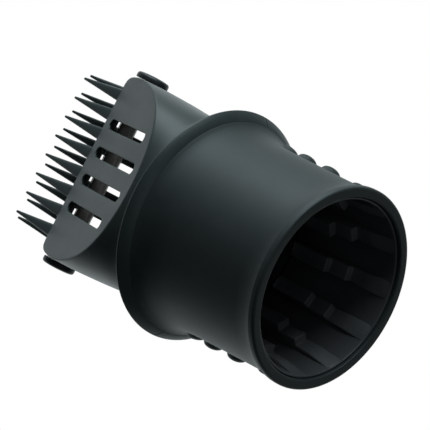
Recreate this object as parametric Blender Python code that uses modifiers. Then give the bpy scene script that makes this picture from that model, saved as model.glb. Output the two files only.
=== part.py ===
"""Hair-dryer comb nozzle with a stretch-fit rubber sleeve.

The nozzle stands on the sleeve's mouth, with the comb teeth up. Z is the air path, X runs along
the comb rows and Y runs from the four-slot face to the three-window face. Metres throughout.
"""
import math

import bmesh
import bpy
from mathutils import Matrix, Vector

MM = 0.001
GAP = 0.3 * MM

# sleeve
MOUTH_RADIUS = 34.0 * MM
LIP_BORE = 30.6 * MM
LIP_ROUND = 0.9 * MM
SLEEVE_BORE = 30.4 * MM
SLEEVE_WAIST = 32.8 * MM
SLEEVE_TOP_RADIUS = 36.8 * MM
SLEEVE_TOP = 55.6 * MM
SLEEVE_SOCKET_RADIUS = 31.9 * MM
# radius and height down the outside, from the flare's edge to the lip
SLEEVE_OUTSIDE = (
    (SLEEVE_TOP_RADIUS, 54.6 * MM),
    (35.9 * MM, 53.4 * MM),
    (34.8 * MM, 51.2 * MM),
    (34.0 * MM, 48.2 * MM),
    (33.5 * MM, 44.0 * MM),
    (SLEEVE_WAIST, 10.0 * MM),
    (33.1 * MM, 5.0 * MM),
)
SLEEVE_BORE_START = 3.0 * MM
SLEEVE_SOCKET_BASE = 45.7 * MM
DOME_RADIUS = 3.6 * MM
DOME_RISE = 2.2 * MM
DOME_SINK = 0.6 * MM
DOME_PITCH = 10.9 * MM
DOME_FIRST = 15.2 * MM
DOME_BURIED_SHARE = 0.3
WALL_SWELL = 0.5 * MM
WALL_SWELL_HEIGHT = 38.0 * MM
WALL_SWELL_LIMIT = 1.2
# degrees round from the X axis, for each row of an oval pad
DOME_ROWS = ((15, 32), (9, 25, 41), (9, 25, 41), (15, 32))

# ribbed liner
LINER_BASE = 1.2 * MM
LINER_TOP = 44.6 * MM
LINER_RADIUS = SLEEVE_BORE - GAP
LINER_BORE = 29.5 * MM
LINER_LEAD_IN = (0.3 * MM, 1.0 * MM)
RIB_ROOT_DEPTH = 0.4 * MM
RIB_COUNT = 12
RIB_WIDTH = 5.6 * MM
RIB_BASE = 1.5 * MM
RIB_RAMP_TOP = 10.8 * MM
# top and crest radius of each step above the ramp
RIB_STEPS = (
    (17.0 * MM, 27.9 * MM),
    (24.5 * MM, 25.5 * MM),
    (40.0 * MM, 23.0 * MM),
)

# clamp collar and gasket
COLLAR_RADIUS = SLEEVE_SOCKET_RADIUS - GAP
COLLAR_BORE = 29.8 * MM
COLLAR_BASE = 46.0 * MM
COLLAR_TOP = 54.7 * MM
COLLAR_WEB_BORE = 23.4 * MM
COLLAR_WEB_BASE = 52.4 * MM
GASKET_BASE = 55.0 * MM
GASKET_TOP = 55.7 * MM
GASKET_INSET = 0.2 * MM
HOLE_EASE = 0.2 * MM
COLLAR_HOLE_ENDS = (48.0 * MM, 60.0 * MM)

# nozzle shells
FLANGE_RADIUS = 39.85 * MM
FLANGE_TOP = 57.5 * MM
FLANGE_UNDERSIDE = 56.0 * MM
SKIRT_BASE = 53.8 * MM
SKIRT_BORE = SLEEVE_TOP_RADIUS + GAP
SKIRT_LIP = 0.5 * MM
WALL = 2.2 * MM
FACE_WALL = 2.0 * MM
NOZZLE_TOP = 115.0 * MM
TOP_WALL = 1.8 * MM
FACE_SLOPE = math.radians(28.8)
FACE_TOP_Y = 5.5 * MM
FACE_BASE = 60.0 * MM
PARTING_GAP = 0.15 * MM
HOLLOW_FLOOR = 50.0 * MM
HOLLOW_ROOF_CLEARANCE = 1.0 * MM
CUT_REACH = 60.0 * MM
PARTING_ENDS = (40.0 * MM, 150.0 * MM)
FLANGE_EDGE = 0.5 * MM
FLANGE_INNER = 30.0 * MM
# height, half width and squareness of the nozzle's outline, from the flange up
NECK_STATIONS = (
    (56.2 * MM, 34.8 * MM, 2.0),
    (58.0 * MM, 33.6 * MM, 2.0),
    (60.0 * MM, 32.8 * MM, 2.1),
    (65.0 * MM, 32.2 * MM, 2.4),
    (71.0 * MM, 32.1 * MM, 2.8),
    (78.0 * MM, 32.4 * MM, 3.1),
    (86.0 * MM, 33.0 * MM, 3.3),
    (93.0 * MM, 33.5 * MM, 3.4),
    (100.0 * MM, 33.7 * MM, 3.5),
    (107.0 * MM, 33.5 * MM, 3.5),
    (111.5 * MM, 32.9 * MM, 3.5),
    (113.7 * MM, 32.0 * MM, 3.5),
    (114.7 * MM, 30.9 * MM, 3.5),
    (115.0 * MM, 29.6 * MM, 3.5),
)

# comb rows: count, pitch, tip height, root width and thickness
FRONT_TEETH = 8
FRONT_PITCH = 7.33 * MM
FRONT_TIP = 137.2 * MM
FRONT_ROOT_WIDTH = 4.5 * MM
BACK_TEETH = 9
BACK_PITCH = 6.86 * MM
BACK_TIP = 137.9 * MM
BACK_ROOT_WIDTH = 4.0 * MM
TOOTH_ROOT = 114.0 * MM
TOOTH_ROOT_THICKNESS = 3.9 * MM
TOOTH_TIP_WIDTH = 0.8 * MM
TOOTH_TIP_Y = 1.35 * MM
OUTLET_WIDTH = 2.4 * MM
OUTLET_LENGTH = 55.0 * MM
OUTLET_ENDS = (NOZZLE_TOP - 4.0 * MM, NOZZLE_TOP + 2.0 * MM)
TOOTH_INSET = 0.25 * MM

# openings in the two sloping faces
SLOT_CENTRES = (-15.45 * MM, -5.1 * MM, 5.1 * MM, 15.45 * MM)
SLOT_WIDTH = 3.65 * MM
SLOT_TOP = 109.9 * MM
SLOT_BASE_INNER = 71.6 * MM
SLOT_BASE_OUTER = 75.6 * MM
WINDOW_CENTRES = (-18.9 * MM, 0.0, 18.9 * MM)
WINDOW_WIDTHS = (7.4 * MM, 10.7 * MM, 7.4 * MM)
WINDOW_TOP = 112.2 * MM
WINDOW_BASE = 76.0 * MM
WINDOW_CORNER = 0.9 * MM

# mineral tube on its axle, with a knob at each end
AXLE_HEIGHT = 109.15 * MM
AXLE_RADIUS = 1.2 * MM
AXLE_HALF_LENGTH = 35.3 * MM
TUBE_RADIUS = 3.0 * MM
TUBE_HALF_LENGTH = 28.8 * MM
BUSH_RADIUS = 2.5 * MM
BUSH_FLANGE_RADIUS = 3.5 * MM
BUSH_INNER_END = 29.8 * MM
BUSH_OUTER_END = 33.3 * MM
KNOB_RADIUS = 5.85 * MM
KNOB_BASE = 33.95 * MM
KNOB_END = 36.4 * MM
KNOB_EDGE = 1.0 * MM
KNOB_FLAT = 3.2 * MM
KNOB_CROWN = (0.1 * MM, 0.35 * MM)
KNOB_CHAMFER = 0.3 * MM
BUSH_HEAD = 0.7 * MM
WASHER_RADIUS = 2.7 * MM
WASHER_THICKNESS = 0.3 * MM

# screws
COLLAR_SCREW_CIRCLE = 27.0 * MM
COLLAR_BOSS_RADIUS = 4.0 * MM
COLLAR_BOSS_TOP = 66.0 * MM
SHELL_SCREW_X = 26.7 * MM
SHELL_SCREW_Z = 92.0 * MM
SHELL_BOSS_RADIUS = 3.4 * MM
SHELL_BOSS_GAP = 0.6 * MM
SHELL_BOSS_END = 23.0 * MM
SHELL_HEAD_SEAT = 6.0 * MM
PILOT_END = 9.0 * MM
HOLE_OVERRUN = 1.0 * MM
BOSS_HOLE_START = 50.0 * MM
BOSS_HOLE_ROOF = 1.5 * MM
BORE_REACH = 45.0 * MM
DRILL_REACH = 40.0 * MM
SCREW_RADIUS = 1.1 * MM
SCREW_HOLE = SCREW_RADIUS + GAP
HEAD_RADIUS = 2.3 * MM
HEAD_HEIGHT = 1.6 * MM
HEAD_BEVEL = 0.5 * MM
POINT_LENGTH = 0.8 * MM
POINT_SHARE = 0.6
DRIVE_HALF = (1.3 * MM, 0.25 * MM, 0.65 * MM)
COLLAR_SCREW_LENGTH = 11.0 * MM
SHELL_SCREW_LENGTH = 14.0 * MM

COLOURS = {
    "rubber": ((0.018, 0.021, 0.024), 0.62, 0.0),
    "liner": ((0.012, 0.013, 0.016), 0.55, 0.0),
    "nozzle": ((0.045, 0.055, 0.056), 0.42, 0.0),
    "knob": ((0.014, 0.016, 0.017), 0.45, 0.0),
    "mineral": ((0.10, 0.075, 0.058), 0.16, 0.0),
    "steel": ((0.55, 0.55, 0.56), 0.3, 1.0),
    "gasket": ((0.30, 0.09, 0.06), 0.7, 0.0),
    "bush": ((0.75, 0.73, 0.68), 0.5, 0.0),
}


def clear_scene():
    for item in list(bpy.data.objects):
        bpy.data.objects.remove(item, do_unlink=True)


def new_collection(name, hidden=False):
    group = bpy.data.collections.new(name)
    bpy.context.scene.collection.children.link(group)
    group.hide_render = hidden
    return group


clear_scene()
parts = new_collection("comb_nozzle")
cutters = new_collection("cutters", hidden=True)


def material(kind, name):
    colour, roughness, metallic = COLOURS[kind]
    surface = bpy.data.materials.new(name)
    surface.use_nodes = True
    shader = surface.node_tree.nodes["Principled BSDF"]
    shader.inputs["Base Color"].default_value = (*colour, 1.0)
    shader.inputs["Roughness"].default_value = roughness
    shader.inputs["Metallic"].default_value = metallic
    surface.diffuse_color = (*colour, 1.0)
    return surface


def link_mesh(name, mesh, kind=None, smooth=False):
    item = bpy.data.objects.new(name, mesh)
    if kind is None:
        cutters.objects.link(item)
        item.hide_render = True
        item.display_type = "WIRE"
    else:
        parts.objects.link(item)
        mesh.materials.append(material(kind, name))
    if smooth:
        for face in mesh.polygons:
            face.use_smooth = True
    return item


def mesh_from(name, build):
    bm = bmesh.new()
    build(bm)
    bm.normal_update()
    bmesh.ops.recalc_face_normals(bm, faces=bm.faces)
    if bm.calc_volume(signed=True) < 0:
        bmesh.ops.reverse_faces(bm, faces=bm.faces)
    mesh = bpy.data.meshes.new(name)
    bm.to_mesh(mesh)
    bm.free()
    return mesh


def box(name, low, high, kind=None):
    size = Vector(high) - Vector(low)
    centre = (Vector(high) + Vector(low)) / 2

    def build(bm):
        bmesh.ops.create_cube(bm, size=1.0, matrix=Matrix.Diagonal((*size, 1.0)))

    item = link_mesh(name, mesh_from(name, build), kind)
    item.location = centre
    return item


def cylinder(name, radius, start, end, kind=None, segments=24):
    """A closed cylinder between two points, with its origin at the middle."""
    start, end = Vector(start), Vector(end)
    axis = end - start

    def build(bm):
        bmesh.ops.create_cone(
            bm, cap_ends=True, segments=segments, radius1=radius, radius2=radius, depth=axis.length
        )

    item = link_mesh(name, mesh_from(name, build), kind, smooth=kind is not None)
    item.location = (start + end) / 2
    item.rotation_euler = axis.to_track_quat("Z", "Y").to_euler()
    return item


def turned(name, profile, kind=None, steps=64, smooth=True):
    """A closed profile of (radius, height) points, turned about Z."""
    mesh = bpy.data.meshes.new(name)
    points = [(radius, 0.0, height) for radius, height in profile]
    edges = [(i, (i + 1) % len(points)) for i in range(len(points))]
    mesh.from_pydata(points, edges, [])
    item = link_mesh(name, mesh, kind)
    screw = item.modifiers.new("turn", "SCREW")
    screw.axis = "Z"
    screw.steps = steps
    screw.render_steps = steps
    screw.use_merge_vertices = True
    screw.merge_threshold = 0.00001
    screw.use_smooth_shade = smooth
    return item


def arc(centre_r, centre_z, radius, start_deg, end_deg, count):
    """Points on an arc in the (radius, height) plane."""
    points = []
    for i in range(count + 1):
        angle = math.radians(start_deg + (end_deg - start_deg) * i / count)
        points.append((centre_r + radius * math.cos(angle), centre_z + radius * math.sin(angle)))
    return points


def boolean(item, other, operation):
    step = item.modifiers.new(other.name[:40], "BOOLEAN")
    step.object = other
    step.operation = operation
    step.solver = "EXACT"


def cut(item, *others):
    for other in others:
        boolean(item, other, "DIFFERENCE")


def join(item, *others):
    for other in others:
        boolean(item, other, "UNION")


def on_circle(radius, degrees, height):
    angle = math.radians(degrees)
    return (radius * math.cos(angle), radius * math.sin(angle), height)


# rubber sleeve
def make_sleeve():
    profile = [(SLEEVE_TOP_RADIUS, SLEEVE_TOP), *SLEEVE_OUTSIDE]
    profile += arc(MOUTH_RADIUS - LIP_ROUND, LIP_ROUND, LIP_ROUND, 30, -90, 5)
    profile += arc(LIP_BORE + LIP_ROUND, LIP_ROUND, LIP_ROUND, -90, -180, 3)
    profile += [(SLEEVE_BORE, SLEEVE_BORE_START), (SLEEVE_BORE, SLEEVE_SOCKET_BASE)]
    profile += [(SLEEVE_SOCKET_RADIUS, SLEEVE_SOCKET_BASE), (SLEEVE_SOCKET_RADIUS, SLEEVE_TOP)]
    sleeve = turned("rubber_sleeve", profile, "rubber", steps=56)
    for side in (-1, 1):
        for row, columns in enumerate(DOME_ROWS):
            height = DOME_FIRST + row * DOME_PITCH
            for column in columns:
                degrees = column if side > 0 else 180 - column
                join(sleeve, make_dome(f"dome_{side + 1}_{row}_{column}", degrees, height))
    return sleeve


def make_dome(name, degrees, height):
    """A flattened ball half sunk in the sleeve's wall."""

    def build(bm):
        bmesh.ops.create_uvsphere(bm, u_segments=12, v_segments=8, radius=1.0)
        bmesh.ops.scale(bm, vec=(DOME_RADIUS, DOME_RADIUS, DOME_RISE + DOME_SINK), verts=bm.verts)
        buried = [vert for vert in bm.verts if vert.co.z < 0]
        bmesh.ops.scale(bm, vec=(1.0, 1.0, DOME_BURIED_SHARE), verts=buried)

    dome = link_mesh(name, mesh_from(name, build))
    surface = SLEEVE_WAIST + WALL_SWELL * min(WALL_SWELL_LIMIT, height / WALL_SWELL_HEIGHT)
    dome.location = on_circle(surface - DOME_SINK, degrees, height)
    dome.rotation_euler = (0.0, math.radians(90), math.radians(degrees))
    return dome


# ribbed liner
def make_liner():
    profile = [(LINER_RADIUS, LINER_TOP), (LINER_RADIUS, LINER_BASE)]
    profile += [(LINER_BORE + LINER_LEAD_IN[0], LINER_BASE), (LINER_BORE, LINER_BASE + LINER_LEAD_IN[1])]
    profile += [(LINER_BORE, LINER_TOP)]
    liner = turned("ribbed_liner", profile, "liner", steps=48)
    for index in range(RIB_COUNT):
        degrees = (index + 0.5) * 360 / RIB_COUNT
        join(liner, make_rib(index, degrees))
    return liner


def make_rib(index, degrees):
    """One rib: a ramp up from the mouth, then three levels, each nearer the axis."""
    root = LINER_BORE + RIB_ROOT_DEPTH
    outline = [(root, RIB_BASE), (LINER_BORE, RIB_BASE)]
    low = RIB_RAMP_TOP
    for top, crest in RIB_STEPS:
        outline += [(crest, low), (crest, top)]
        low = top
    outline += [(root, low)]
    curve = outline_curve(f"rib_{index}", outline, RIB_WIDTH)
    turn = Matrix.Rotation(math.radians(degrees), 4, "Z") @ Matrix.Rotation(math.radians(90), 4, "X")
    return curve_to_cutter(curve, turn)


def outline_curve(name, outline, thickness):
    """A filled flat outline, given its thickness."""
    curve = bpy.data.curves.new(name, "CURVE")
    curve.dimensions = "2D"
    curve.fill_mode = "BOTH"
    curve.extrude = thickness / 2
    line = curve.splines.new("POLY")
    line.points.add(len(outline) - 1)
    for point, (across, up) in zip(line.points, outline):
        point.co = (across, up, 0.0, 1.0)
    line.use_cyclic_u = True
    return curve


def curve_to_cutter(curve, matrix):
    drawn = bpy.data.objects.new(curve.name, curve)
    cutters.objects.link(drawn)
    bpy.context.view_layer.update()
    graph = bpy.context.evaluated_depsgraph_get()
    mesh = bpy.data.meshes.new_from_object(drawn.evaluated_get(graph))
    bpy.data.objects.remove(drawn, do_unlink=True)
    bm = bmesh.new()
    bm.from_mesh(mesh)
    bmesh.ops.remove_doubles(bm, verts=bm.verts, dist=0.000001)
    bmesh.ops.recalc_face_normals(bm, faces=bm.faces)
    bm.to_mesh(mesh)
    bm.free()
    item = link_mesh(curve.name, mesh)
    item.matrix_world = matrix
    return item


# collar and gasket
COLLAR_SCREW_ANGLES = (45, 135, 225, 315)


def make_collar():
    profile = [(COLLAR_RADIUS, COLLAR_TOP), (COLLAR_RADIUS, COLLAR_BASE)]
    profile += [(COLLAR_BORE, COLLAR_BASE), (COLLAR_BORE, COLLAR_WEB_BASE)]
    profile += [(COLLAR_WEB_BORE, COLLAR_WEB_BASE), (COLLAR_WEB_BORE, COLLAR_TOP)]
    collar = turned("clamp_collar", profile, "nozzle", steps=48)
    cut(collar, *collar_holes("collar_hole", SCREW_HOLE + HOLE_EASE))
    return collar


def make_gasket():
    outer = COLLAR_RADIUS - GASKET_INSET
    inner = COLLAR_WEB_BORE
    profile = [(outer, GASKET_TOP), (outer, GASKET_BASE), (inner, GASKET_BASE), (inner, GASKET_TOP)]
    gasket = turned("inlet_gasket", profile, "gasket", steps=48)
    cut(gasket, *collar_holes("gasket_hole", SCREW_HOLE + HOLE_EASE))
    return gasket


def collar_holes(name, radius, sides=12):
    holes = []
    for degrees in COLLAR_SCREW_ANGLES:
        start = on_circle(COLLAR_SCREW_CIRCLE, degrees, COLLAR_HOLE_ENDS[0])
        end = on_circle(COLLAR_SCREW_CIRCLE, degrees, COLLAR_HOLE_ENDS[1])
        holes.append(cylinder(f"{name}_{degrees}", radius, start, end, segments=sides))
    return holes


# nozzle shells
def section(bm, height, half_width, squareness, count=48):
    ring = []
    for i in range(count):
        angle = 2 * math.pi * i / count
        c, s = math.cos(angle), math.sin(angle)
        x = half_width * math.copysign(abs(c) ** (2 / squareness), c)
        y = half_width * math.copysign(abs(s) ** (2 / squareness), s)
        ring.append(bm.verts.new((x, y, height)))
    return ring


def loft(name, stations):
    def build(bm):
        rings = [section(bm, *station) for station in stations]
        for low, high in zip(rings, rings[1:]):
            for i in range(len(low)):
                j = (i + 1) % len(low)
                bm.faces.new((low[i], low[j], high[j], high[i]))
        bmesh.ops.triangulate(bm, faces=bm.faces)
        bm.faces.new(rings[0])
        bm.faces.new(rings[-1])

    return link_mesh(name, mesh_from(name, build))


def face_cutter(name, side, top_y):
    """A slab whose inner face is the sloping plane through (top_y, nozzle top), down to the flange."""
    size = 160 * MM
    drop = (NOZZLE_TOP - FACE_BASE) / math.cos(FACE_SLOPE)
    middle = Matrix.Translation((0.0, 0.0, (size / 2 - drop) / 2))
    slab = box(name, (-size / 2, 0.0, -(size / 2 + drop) / 2), (size / 2, size, (size / 2 + drop) / 2))
    slope = Matrix.Rotation(side * -FACE_SLOPE, 4, "X")
    flip = Matrix.Rotation(math.pi if side < 0 else 0.0, 4, "Z")
    anchor = Matrix.Translation((0.0, side * top_y, NOZZLE_TOP))
    out = Matrix.Translation((0.0, size / 2, 0.0))
    slab.matrix_world = anchor @ slope.inverted() @ flip @ out @ middle
    return slab


def make_hollow():
    """The air space inside the nozzle, one wall in from the outside."""
    floor = (HOLLOW_FLOOR, NECK_STATIONS[2][1] - WALL, 2.0)
    stations = [floor]
    for height, half_width, squareness in NECK_STATIONS[2:]:
        if height < NOZZLE_TOP - TOP_WALL - HOLLOW_ROOF_CLEARANCE:
            stations.append((height, half_width - WALL, squareness))
    stations.append((NOZZLE_TOP - TOP_WALL, NECK_STATIONS[-4][1] - WALL, 3.5))
    hollow = loft("hollow", stations)
    inward = FACE_WALL / math.cos(FACE_SLOPE)
    for side, word in ((-1, "front"), (1, "back")):
        cut(hollow, face_cutter(f"hollow_{word}_plane", side, FACE_TOP_Y - inward))
    return hollow


def opening(name, side, x, width, low, high, corner):
    """A slot with rounded corners through one sloping face, square to the Y axis."""
    left = x - width / 2 + corner
    right = x + width / 2 - corner
    outline = []
    for across, up, start in (
        (right, high - corner, 0),
        (left, high - corner, 90),
        (left, low + corner, 180),
        (right, low + corner, 270),
    ):
        for point in arc(across, up, corner, start, start + 90, 4):
            if not outline or math.dist(point, outline[-1]) > 0.001 * MM:
                outline.append(point)
    curve = outline_curve(name, outline, CUT_REACH)
    turn = Matrix.Rotation(math.radians(90), 4, "X")
    return curve_to_cutter(curve, Matrix.Translation((0.0, side * CUT_REACH / 2, 0.0)) @ turn)


def tooth(name, x, side, root_width, tip_height):
    """One comb tooth: a bar that tapers to a blunt tip, leaning in towards the middle."""
    outer_y = FACE_TOP_Y - TOOTH_INSET
    inner_y = outer_y - TOOTH_ROOT_THICKNESS

    def build(bm):
        bmesh.ops.create_cube(bm, size=1.0)
        for vert in bm.verts:
            at_tip = vert.co.z > 0
            half = (TOOTH_TIP_WIDTH if at_tip else root_width) / 2
            px = x + math.copysign(half, vert.co.x)
            if at_tip:
                py = TOOTH_TIP_Y + math.copysign(TOOTH_TIP_WIDTH / 2, vert.co.y)
            else:
                py = outer_y if vert.co.y > 0 else inner_y
            vert.co = (px, side * py, tip_height if at_tip else TOOTH_ROOT)

    return link_mesh(name, mesh_from(name, build))


def make_shell(word, side, hollow, flange):
    shell = loft(f"{word}_shell", NECK_STATIONS)
    cutters.objects.unlink(shell)
    parts.objects.link(shell)
    shell.hide_render = False
    shell.display_type = "TEXTURED"
    shell.data.materials.append(material("nozzle", shell.name))
    join(shell, flange)
    cut(shell, hollow, half_space(word, side))

    bosses = []
    for degrees in COLLAR_SCREW_ANGLES:
        if math.sin(math.radians(degrees)) * side > 0:
            start = on_circle(COLLAR_SCREW_CIRCLE, degrees, FLANGE_UNDERSIDE + 0.4 * MM)
            end = on_circle(COLLAR_SCREW_CIRCLE, degrees, COLLAR_BOSS_TOP)
            bosses.append(cylinder(f"{word}_boss_{degrees}", COLLAR_BOSS_RADIUS, start, end))
    for x in (-SHELL_SCREW_X, SHELL_SCREW_X):
        start = (x, side * SHELL_BOSS_GAP, SHELL_SCREW_Z)
        end = (x, side * SHELL_BOSS_END, SHELL_SCREW_Z)
        bosses.append(cylinder(f"{word}_post_{x:.3f}", SHELL_BOSS_RADIUS, start, end))
    join(shell, *bosses)
    cut(shell, face_cutter(f"{word}_plane", side, FACE_TOP_Y))

    if side < 0:
        count, pitch, tip, width = FRONT_TEETH, FRONT_PITCH, FRONT_TIP, FRONT_ROOT_WIDTH
    else:
        count, pitch, tip, width = BACK_TEETH, BACK_PITCH, BACK_TIP, BACK_ROOT_WIDTH
    for index in range(count):
        x = (index - (count - 1) / 2) * pitch
        join(shell, tooth(f"{word}_tooth_{index}", x, side, width, tip))
    return shell


def half_space(word, side):
    """Everything on the other side of the parting plane."""
    near = side * PARTING_GAP
    far = -side * CUT_REACH
    return box(
        f"{word}_parting",
        (-CUT_REACH, min(near, far), PARTING_ENDS[0]),
        (CUT_REACH, max(near, far), PARTING_ENDS[1]),
    )


def make_flange():
    """The rim that both shells share: a disc with a tapered skirt round the sleeve's flared end."""
    edge = FLANGE_EDGE
    profile = [(FLANGE_INNER, FLANGE_TOP)]
    profile += arc(FLANGE_RADIUS - edge, FLANGE_TOP - edge, edge, 90, -45, 4)
    profile += [(SKIRT_BORE + SKIRT_LIP, SKIRT_BASE), (SKIRT_BORE, SKIRT_BASE)]
    profile += [(SKIRT_BORE, FLANGE_UNDERSIDE), (FLANGE_INNER, FLANGE_UNDERSIDE)]
    return turned("flange", profile, steps=60)


def make_shells():
    hollow = make_hollow()
    flange = make_flange()
    front = make_shell("front", -1, hollow, flange)
    back = make_shell("back", 1, hollow, flange)

    for index, x in enumerate(SLOT_CENTRES):
        base = SLOT_BASE_OUTER if index in (0, 3) else SLOT_BASE_INNER
        cut(front, opening(f"slot_{index}", -1, x, SLOT_WIDTH, base, SLOT_TOP, SLOT_WIDTH / 2))
    for index, (x, width) in enumerate(zip(WINDOW_CENTRES, WINDOW_WIDTHS)):
        window = opening(f"window_{index}", 1, x, width, WINDOW_BASE, WINDOW_TOP, WINDOW_CORNER)
        cut(back, window)

    bearing = cylinder(
        "bearing_bore",
        BUSH_RADIUS + GAP,
        (-BORE_REACH, 0.0, AXLE_HEIGHT),
        (BORE_REACH, 0.0, AXLE_HEIGHT),
    )
    outlet = box(
        "outlet",
        (-OUTLET_LENGTH / 2, -OUTLET_WIDTH / 2, OUTLET_ENDS[0]),
        (OUTLET_LENGTH / 2, OUTLET_WIDTH / 2, OUTLET_ENDS[1]),
    )
    for shell in (front, back):
        cut(shell, bearing, outlet)
    for degrees in COLLAR_SCREW_ANGLES:
        start = on_circle(COLLAR_SCREW_CIRCLE, degrees, BOSS_HOLE_START)
        end = on_circle(COLLAR_SCREW_CIRCLE, degrees, COLLAR_BOSS_TOP - BOSS_HOLE_ROOF)
        hole = cylinder(f"boss_hole_{degrees}", SCREW_HOLE, start, end, segments=16)
        cut(front if math.sin(math.radians(degrees)) < 0 else back, hole)
    for x in (-SHELL_SCREW_X, SHELL_SCREW_X):
        pilot_end = (x, -PILOT_END, SHELL_SCREW_Z)
        open_end = (x, DRILL_REACH, SHELL_SCREW_Z)
        head_end = (x, SHELL_HEAD_SEAT, SHELL_SCREW_Z)
        cut(front, cylinder(f"pilot_{x:.3f}", SCREW_HOLE, pilot_end, open_end, segments=16))
        inner_end = (x, -HOLE_OVERRUN, SHELL_SCREW_Z)
        cut(back, cylinder(f"through_{x:.3f}", SCREW_HOLE, inner_end, open_end, segments=16))
        recess = HEAD_RADIUS + GAP
        cut(back, cylinder(f"counterbore_{x:.3f}", recess, head_end, open_end, segments=20))
    return front, back


# mineral tube, axle and knobs
def make_spinner():
    pivot = bpy.data.objects.new("tube_pivot", None)
    parts.objects.link(pivot)
    pivot.location = (0.0, 0.0, AXLE_HEIGHT)

    tube_end = Vector((TUBE_HALF_LENGTH, 0, 0))
    axle_end = Vector((AXLE_HALF_LENGTH, 0, 0))
    tube = cylinder("mineral_tube", TUBE_RADIUS, -tube_end, tube_end, "mineral", 32)
    bore = cylinder("tube_bore", AXLE_RADIUS + GAP, (-BORE_REACH, 0, 0), (BORE_REACH, 0, 0), segments=20)
    cut(tube, bore)
    axle = cylinder("axle", AXLE_RADIUS, -axle_end, axle_end, "steel", 20)
    for item in (tube, bore, axle):
        item.parent = pivot
    for word, side in (("left", -1), ("right", 1)):
        knob = make_knob(word, side)
        knob.parent = pivot


def make_knob(word, side):
    edge = KNOB_EDGE
    length = KNOB_END - KNOB_BASE
    flat_drop, edge_drop = KNOB_CROWN
    bore = AXLE_RADIUS + GAP
    depth = AXLE_HALF_LENGTH - KNOB_BASE + GAP
    profile = [(0.0, length), (KNOB_FLAT, length - flat_drop)]
    profile += arc(KNOB_RADIUS - edge, length - edge_drop - edge, edge, 75, 0, 4)
    profile += [(KNOB_RADIUS, KNOB_CHAMFER), (KNOB_RADIUS - KNOB_CHAMFER, 0.0)]
    profile += [(bore, 0.0), (bore, depth), (0.0, depth)]
    knob = turned(f"knob_{word}", profile, "knob", steps=36)
    knob.location = (side * KNOB_BASE, 0.0, 0.0)
    knob.rotation_euler = (0.0, math.radians(90 * side), 0.0)
    return knob


def make_bushes():
    bore = AXLE_RADIUS + GAP
    for word, side in (("left", -1), ("right", 1)):
        head = BUSH_HEAD
        length = BUSH_OUTER_END - BUSH_INNER_END
        profile = [(BUSH_RADIUS, length), (BUSH_RADIUS, head), (BUSH_FLANGE_RADIUS, head)]
        profile += [(BUSH_FLANGE_RADIUS, 0.0), (bore, 0.0), (bore, length)]
        bush = turned(f"bush_{word}", profile, "bush", steps=32)
        bush.location = (side * BUSH_INNER_END, 0.0, AXLE_HEIGHT)
        bush.rotation_euler = (0.0, math.radians(90 * side), 0.0)
        thin = WASHER_THICKNESS
        ring = [(WASHER_RADIUS, thin), (WASHER_RADIUS, 0.0), (bore, 0.0), (bore, thin)]
        washer = turned(f"washer_{word}", ring, "steel", steps=28)
        washer.location = (side * (TUBE_HALF_LENGTH + GAP), 0.0, AXLE_HEIGHT)
        washer.rotation_euler = (0.0, math.radians(90 * side), 0.0)


# screws
def make_screw(name, head_point, direction, length):
    """A pan-head screw: head first at head_point, shank along direction."""
    profile = [(0.0, HEAD_HEIGHT + length), (SCREW_RADIUS * POINT_SHARE, HEAD_HEIGHT + length)]
    profile += [(SCREW_RADIUS, HEAD_HEIGHT + length - POINT_LENGTH), (SCREW_RADIUS, HEAD_HEIGHT)]
    profile += [(HEAD_RADIUS, HEAD_HEIGHT), (HEAD_RADIUS, HEAD_BEVEL), (HEAD_RADIUS - HEAD_BEVEL, 0.0)]
    profile += [(0.0, 0.0)]
    screw = turned(name, profile, "steel", steps=14)
    for degrees in (0, 90):
        half = Vector(DRIVE_HALF)
        bar = box(f"{name}_drive_{degrees}", -half, half)
        bar.rotation_euler = (0.0, 0.0, math.radians(degrees))
        bar.parent = screw
        cut(screw, bar)
    screw.location = head_point
    screw.rotation_euler = Vector(direction).to_track_quat("Z", "Y").to_euler()
    return screw


def make_screws():
    head_z = COLLAR_WEB_BASE - GAP - HEAD_HEIGHT
    for index, degrees in enumerate(COLLAR_SCREW_ANGLES):
        place = on_circle(COLLAR_SCREW_CIRCLE, degrees, head_z)
        make_screw(f"collar_screw_{index + 1}", place, (0, 0, 1), COLLAR_SCREW_LENGTH)
    for word, side in (("left", -1), ("right", 1)):
        place = (side * SHELL_SCREW_X, SHELL_HEAD_SEAT + GAP + HEAD_HEIGHT, SHELL_SCREW_Z)
        make_screw(f"shell_screw_{word}", place, (0, -1, 0), SHELL_SCREW_LENGTH)


make_sleeve()
make_liner()
make_collar()
make_gasket()
make_shells()
make_spinner()
make_bushes()
make_screws()
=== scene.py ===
import math

import bmesh
import bpy
from mathutils import Matrix, Vector


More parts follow.
